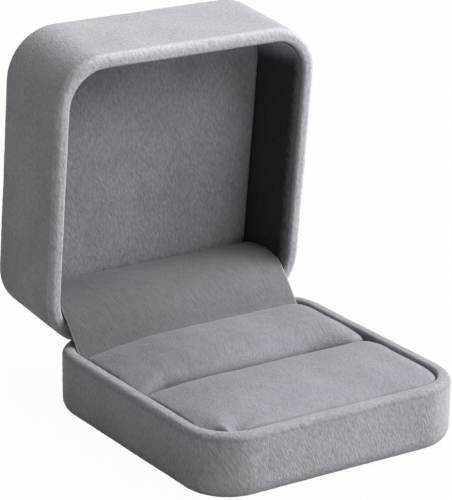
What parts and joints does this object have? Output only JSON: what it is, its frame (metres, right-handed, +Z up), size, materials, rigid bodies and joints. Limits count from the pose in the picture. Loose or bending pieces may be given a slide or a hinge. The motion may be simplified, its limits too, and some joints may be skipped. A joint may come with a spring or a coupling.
{
  "type": "ring box",
  "caption": "Velvet-covered ring box with a hinged lid, a slotted ring cushion and a padded lid lining, standing open.",
  "frame": {"origin": "centre of the base's underside, on the surface it stands on", "axes": "+X along the hinge axis, -Y towards the front, +Z up"},
  "size_m": [0.063, 0.0843, 0.0778],
  "materials": {
    "outer_velvet": "short-pile grey velvet",
    "cushion_velvet": "short-pile grey velvet on foam",
    "lining_velvet": "short-pile grey velvet on card",
    "shell_plastic": "moulded polystyrene",
    "foam": "open-cell foam",
    "card": "grey board",
    "hinge_steel": "plated steel"
  },
  "bodies": {
    "base": {"base_shell": "shell_plastic", "base_velvet_wrap": "outer_velvet", "base_spine_cloth": "outer_velvet", "underside_card": "card", "underside_velvet": "outer_velvet", "cushion_card": "card", "front_cushion_foam": "foam", "front_cushion_cover": "cushion_velvet", "rear_cushion_foam": "foam", "rear_cushion_cover": "cushion_velvet", "slot_velvet": "cushion_velvet", "hinge_lower_leaf": "hinge_steel", "hinge_pin": "hinge_steel", "snap_springs": "hinge_steel", "lower_leaf_rivets": "hinge_steel"},
    "lid": {"lid_shell": "shell_plastic", "lid_velvet_wrap": "outer_velvet", "lid_spine_cloth": "outer_velvet", "lid_top_card": "card", "lid_top_velvet": "outer_velvet", "hinge_upper_leaf": "hinge_steel", "upper_leaf_rivets": "hinge_steel", "lid_side_lining": "lining_velvet", "lid_pad_card": "card", "lid_pad_foam": "foam", "lid_pad_cover": "lining_velvet", "hinge_cover": "lining_velvet"},
    "flap": {"hinge_flap": "lining_velvet"}
  },
  "joints": [
    {"name": "lid_hinge", "type": "hinge", "parent": "base", "child": "lid", "pos_m": [0, 0.02975, 0.0142], "axis": [1, 0, 0], "range_deg": [0, 84.1]},
    {"name": "flap_fold", "type": "hinge", "parent": "lid", "child": "flap", "pos_m": [0, 0.03395, 0.0224], "axis": [1, 0, 0], "range_deg": [-28.1, 0]}
  ],
  "couplings": [
    {"joint": "flap_fold", "follows": "lid_hinge", "ratio": -0.334}
  ]
}
